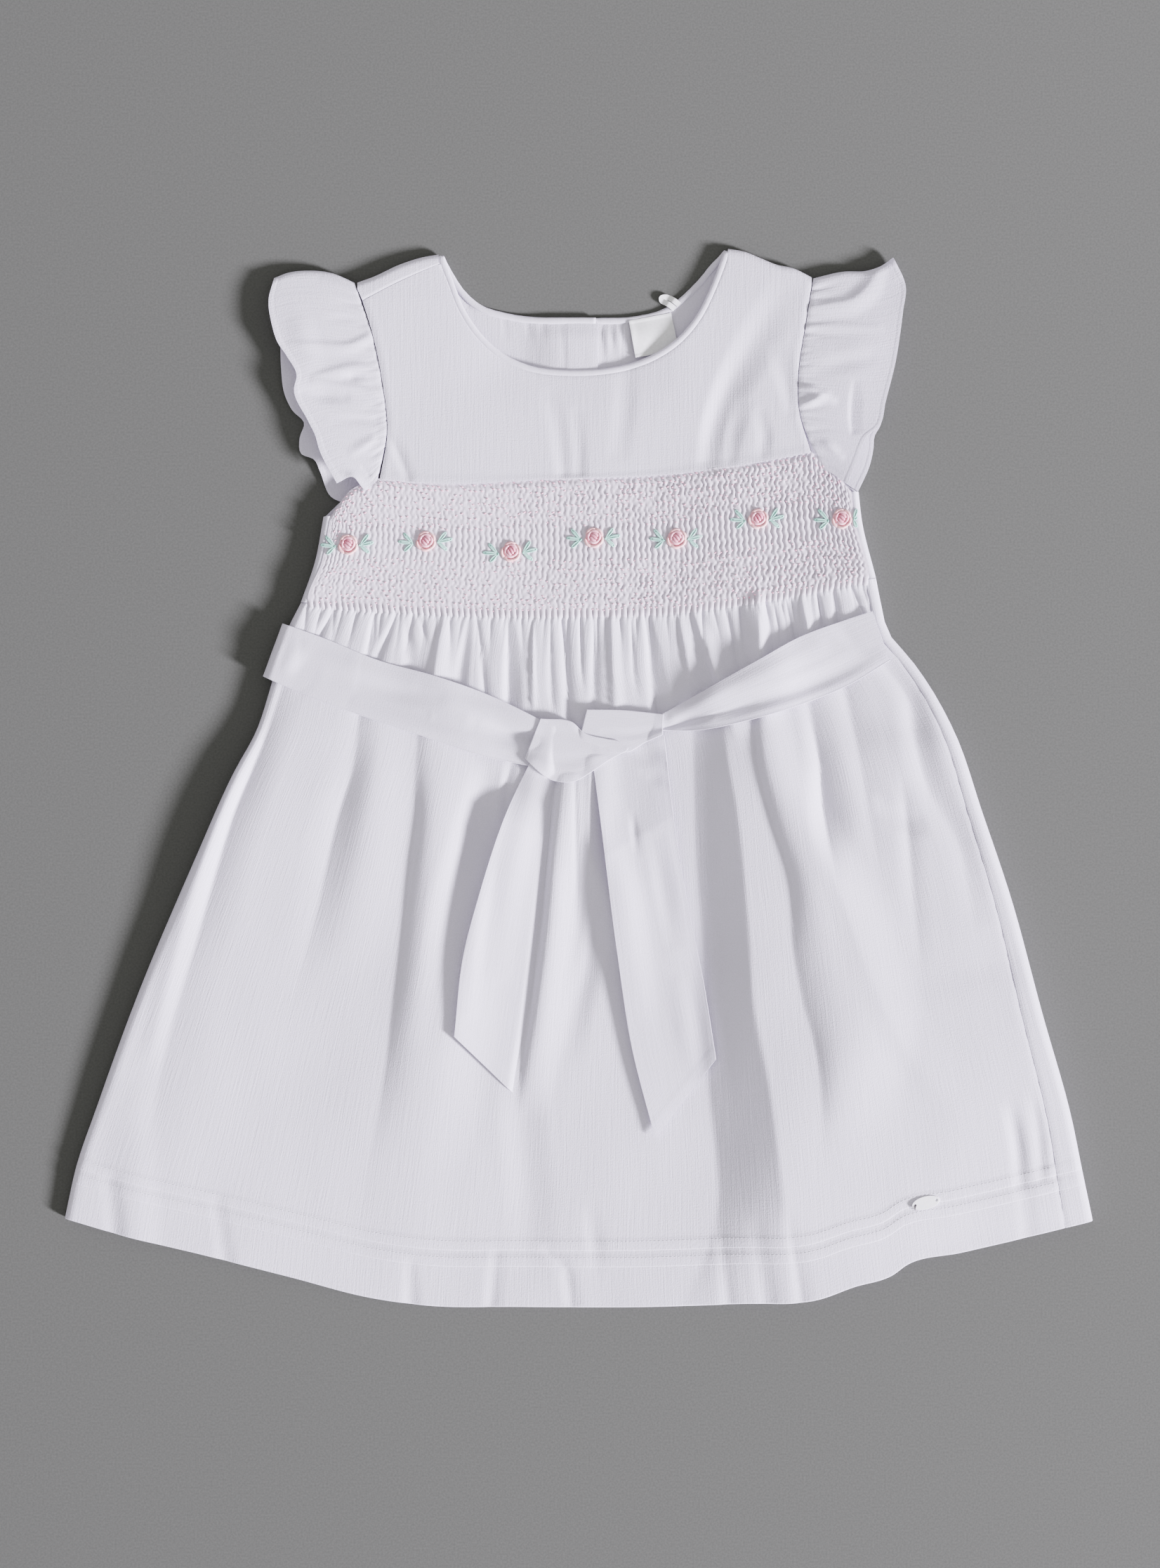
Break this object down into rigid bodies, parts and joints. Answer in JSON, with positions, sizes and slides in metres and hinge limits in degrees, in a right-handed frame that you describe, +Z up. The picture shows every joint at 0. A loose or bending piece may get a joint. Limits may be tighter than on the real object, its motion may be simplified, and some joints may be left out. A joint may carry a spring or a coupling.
{
  "type": "toddler dress",
  "caption": "Toddler's short-sleeved cotton dress laid flat, with a smocked front panel, flutter sleeves, a gathered skirt and a sash tied at the front.",
  "frame": {"origin": "on the surface that the dress lies on, under the middle of its box", "axes": "+X to the viewer's right, +Y from the hem to the neck, +Z up from the surface"},
  "size_m": [0.4772, 0.4907, 0.0184],
  "materials": {
    "white_cotton": "matte, fine vertical rib",
    "smocked_cotton": "matte, gathered in fine pleats",
    "sash_cotton": "matte, smooth",
    "label_satin": "satin weave, blank",
    "charm_metal": "polished, blank",
    "button_resin": "glossy white",
    "rose_thread": "stranded embroidery cotton, pink",
    "leaf_thread": "stranded embroidery cotton, mint green"
  },
  "bodies": {
    "root": {"front_yoke": "white_cotton", "front_smocked_panel": "smocked_cotton", "front_skirt": "white_cotton", "back_bodice_left": "white_cotton", "back_bodice_right": "white_cotton", "back_skirt": "white_cotton", "neck_binding": "white_cotton", "flutter_sleeve_left": "white_cotton", "flutter_sleeve_right": "white_cotton", "sash_left": "sash_cotton", "sash_right": "sash_cotton", "sash_knot_wrap": "sash_cotton", "sash_knot_loop": "sash_cotton", "sash_tail_left": "sash_cotton", "sash_tail_right": "sash_cotton", "neck_label": "label_satin", "hanger_loop": "label_satin", "hem_charm": "charm_metal", "back_button_1": "button_resin", "back_button_2": "button_resin", "back_button_3": "button_resin"}
  },
  "joints": []
}
